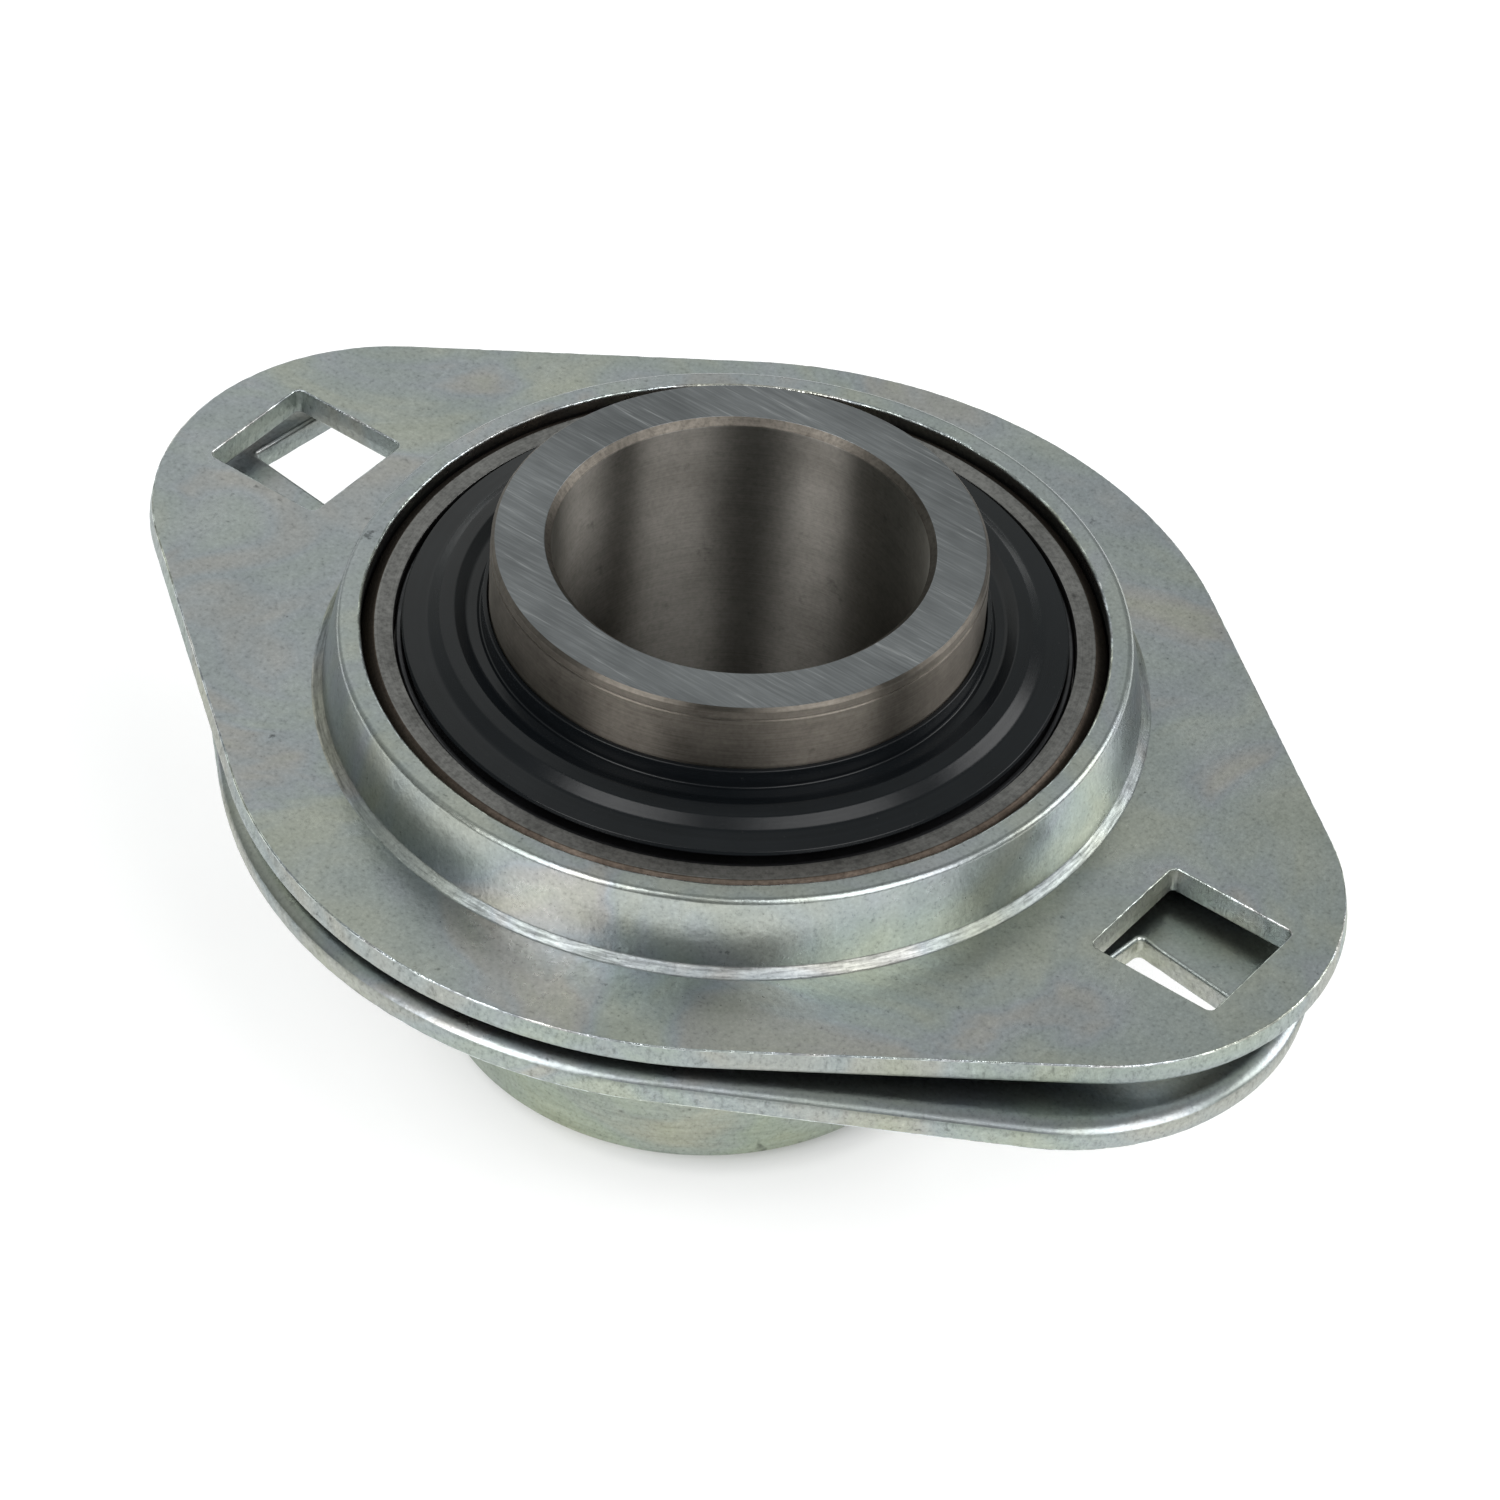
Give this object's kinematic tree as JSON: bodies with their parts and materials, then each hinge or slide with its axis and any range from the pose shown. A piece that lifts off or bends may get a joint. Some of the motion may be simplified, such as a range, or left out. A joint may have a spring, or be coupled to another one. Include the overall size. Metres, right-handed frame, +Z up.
{
  "type": "flange mount bearing",
  "caption": "Ball bearing insert with an eccentric locking collar, held in a pressed-steel flange housing of mirrored halves with square bolt holes.",
  "frame": {"origin": "on the shaft axis, at the end face of the locking collar, which the unit stands on", "axes": "+Z up the shaft axis from the locking collar towards the free end of the inner ring; +X along the long axis of the upper housing half, through its bolt holes"},
  "size_m": [0.1116, 0.0842, 0.0483],
  "materials": {
    "housing_zinc": "zinc plated and clear passivated, mottled, with burr glints on the cut edges",
    "ring_steel": "ground bearing steel",
    "ball_steel": "polished",
    "cage_steel": "bright pressed strip",
    "rivet_steel": "bright, headed",
    "seal_plate": "dark phosphated strip",
    "seal_rubber": "matt black moulded rubber",
    "flinger_black": "semi-gloss blue-black",
    "collar_zinc": "greenish-yellow zinc passivate",
    "screw_black": "black oxide"
  },
  "bodies": {
    "upper_housing": {"housing_upper_half": "housing_zinc"},
    "lower_housing": {"housing_lower_half": "housing_zinc"},
    "outer_race": {"outer_ring": "ring_steel", "upper_seal_plate": "seal_plate", "upper_seal_lip": "seal_rubber", "lower_seal_plate": "seal_plate", "lower_seal_lip": "seal_rubber"},
    "inner_race": {"inner_ring": "ring_steel", "upper_flinger": "flinger_black", "lower_flinger": "flinger_black"},
    "ball_cage": {"cage_upper_ribbon": "cage_steel", "cage_lower_ribbon": "cage_steel", "cage_rivet_1": "rivet_steel", "cage_rivet_2": "rivet_steel", "cage_rivet_3": "rivet_steel", "cage_rivet_4": "rivet_steel", "cage_rivet_5": "rivet_steel", "cage_rivet_6": "rivet_steel", "cage_rivet_7": "rivet_steel", "cage_rivet_8": "rivet_steel", "cage_rivet_9": "rivet_steel"},
    "ball_body_1": {"ball_1": "ball_steel"},
    "ball_body_2": {"ball_2": "ball_steel"},
    "ball_body_3": {"ball_3": "ball_steel"},
    "ball_body_4": {"ball_4": "ball_steel"},
    "ball_body_5": {"ball_5": "ball_steel"},
    "ball_body_6": {"ball_6": "ball_steel"},
    "ball_body_7": {"ball_7": "ball_steel"},
    "ball_body_8": {"ball_8": "ball_steel"},
    "ball_body_9": {"ball_9": "ball_steel"},
    "collar": {"locking_collar": "collar_zinc"},
    "screw": {"grub_screw": "screw_black"}
  },
  "joints": [
    {"name": "lower_housing_turn", "type": "hinge", "parent": "upper_housing", "child": "lower_housing", "pos_m": [0, 0, 0.0301], "axis": [0, 0, 1], "continuous": true},
    {"name": "self_aligning_tilt", "type": "hinge", "parent": "upper_housing", "child": "outer_race", "pos_m": [0, 0, 0.0301], "axis": [0, 1, 0], "range_deg": [-3, 3]},
    {"name": "inner_race_spin", "type": "hinge", "parent": "outer_race", "child": "inner_race", "pos_m": [0, 0, 0.0301], "axis": [0, 0, 1], "continuous": true},
    {"name": "cage_spin", "type": "hinge", "parent": "outer_race", "child": "ball_cage", "pos_m": [0, 0, 0.0301], "axis": [0, 0, 1], "continuous": true},
    {"name": "ball_spin_1", "type": "hinge", "parent": "ball_cage", "child": "ball_body_1", "pos_m": [0.023, 0, 0.0301], "axis": [0, 0, 1], "continuous": true},
    {"name": "ball_spin_2", "type": "hinge", "parent": "ball_cage", "child": "ball_body_2", "pos_m": [0.01762, 0.01478, 0.0301], "axis": [0, 0, 1], "continuous": true},
    {"name": "ball_spin_3", "type": "hinge", "parent": "ball_cage", "child": "ball_body_3", "pos_m": [0.00399, 0.02265, 0.0301], "axis": [0, 0, 1], "continuous": true},
    {"name": "ball_spin_4", "type": "hinge", "parent": "ball_cage", "child": "ball_body_4", "pos_m": [-0.0115, 0.01992, 0.0301], "axis": [0, 0, 1], "continuous": true},
    {"name": "ball_spin_5", "type": "hinge", "parent": "ball_cage", "child": "ball_body_5", "pos_m": [-0.02161, 0.00787, 0.0301], "axis": [0, 0, 1], "continuous": true},
    {"name": "ball_spin_6", "type": "hinge", "parent": "ball_cage", "child": "ball_body_6", "pos_m": [-0.02161, -0.00787, 0.0301], "axis": [0, 0, 1], "continuous": true},
    {"name": "ball_spin_7", "type": "hinge", "parent": "ball_cage", "child": "ball_body_7", "pos_m": [-0.0115, -0.01992, 0.0301], "axis": [0, 0, 1], "continuous": true},
    {"name": "ball_spin_8", "type": "hinge", "parent": "ball_cage", "child": "ball_body_8", "pos_m": [0.00399, -0.02265, 0.0301], "axis": [0, 0, 1], "continuous": true},
    {"name": "ball_spin_9", "type": "hinge", "parent": "ball_cage", "child": "ball_body_9", "pos_m": [0.01762, -0.01478, 0.0301], "axis": [0, 0, 1], "continuous": true},
    {"name": "collar_turn", "type": "hinge", "parent": "inner_race", "child": "collar", "pos_m": [-0.00066, -0.00046, 0.0137], "axis": [0, 0, 1], "continuous": true},
    {"name": "grub_screw_travel", "type": "slide", "parent": "collar", "child": "screw", "axis": [-0.5736, 0.8192, 0], "range_m": [-0.0004, 0.004]}
  ],
  "couplings": [
    {"joint": "cage_spin", "follows": "inner_race_spin", "ratio": 0.39647},
    {"joint": "ball_spin_1", "follows": "inner_race_spin", "ratio": -2.3112},
    {"joint": "ball_spin_2", "follows": "inner_race_spin", "ratio": -2.3112},
    {"joint": "ball_spin_3", "follows": "inner_race_spin", "ratio": -2.3112},
    {"joint": "ball_spin_4", "follows": "inner_race_spin", "ratio": -2.3112},
    {"joint": "ball_spin_5", "follows": "inner_race_spin", "ratio": -2.3112},
    {"joint": "ball_spin_6", "follows": "inner_race_spin", "ratio": -2.3112},
    {"joint": "ball_spin_7", "follows": "inner_race_spin", "ratio": -2.3112},
    {"joint": "ball_spin_8", "follows": "inner_race_spin", "ratio": -2.3112},
    {"joint": "ball_spin_9", "follows": "inner_race_spin", "ratio": -2.3112}
  ]
}
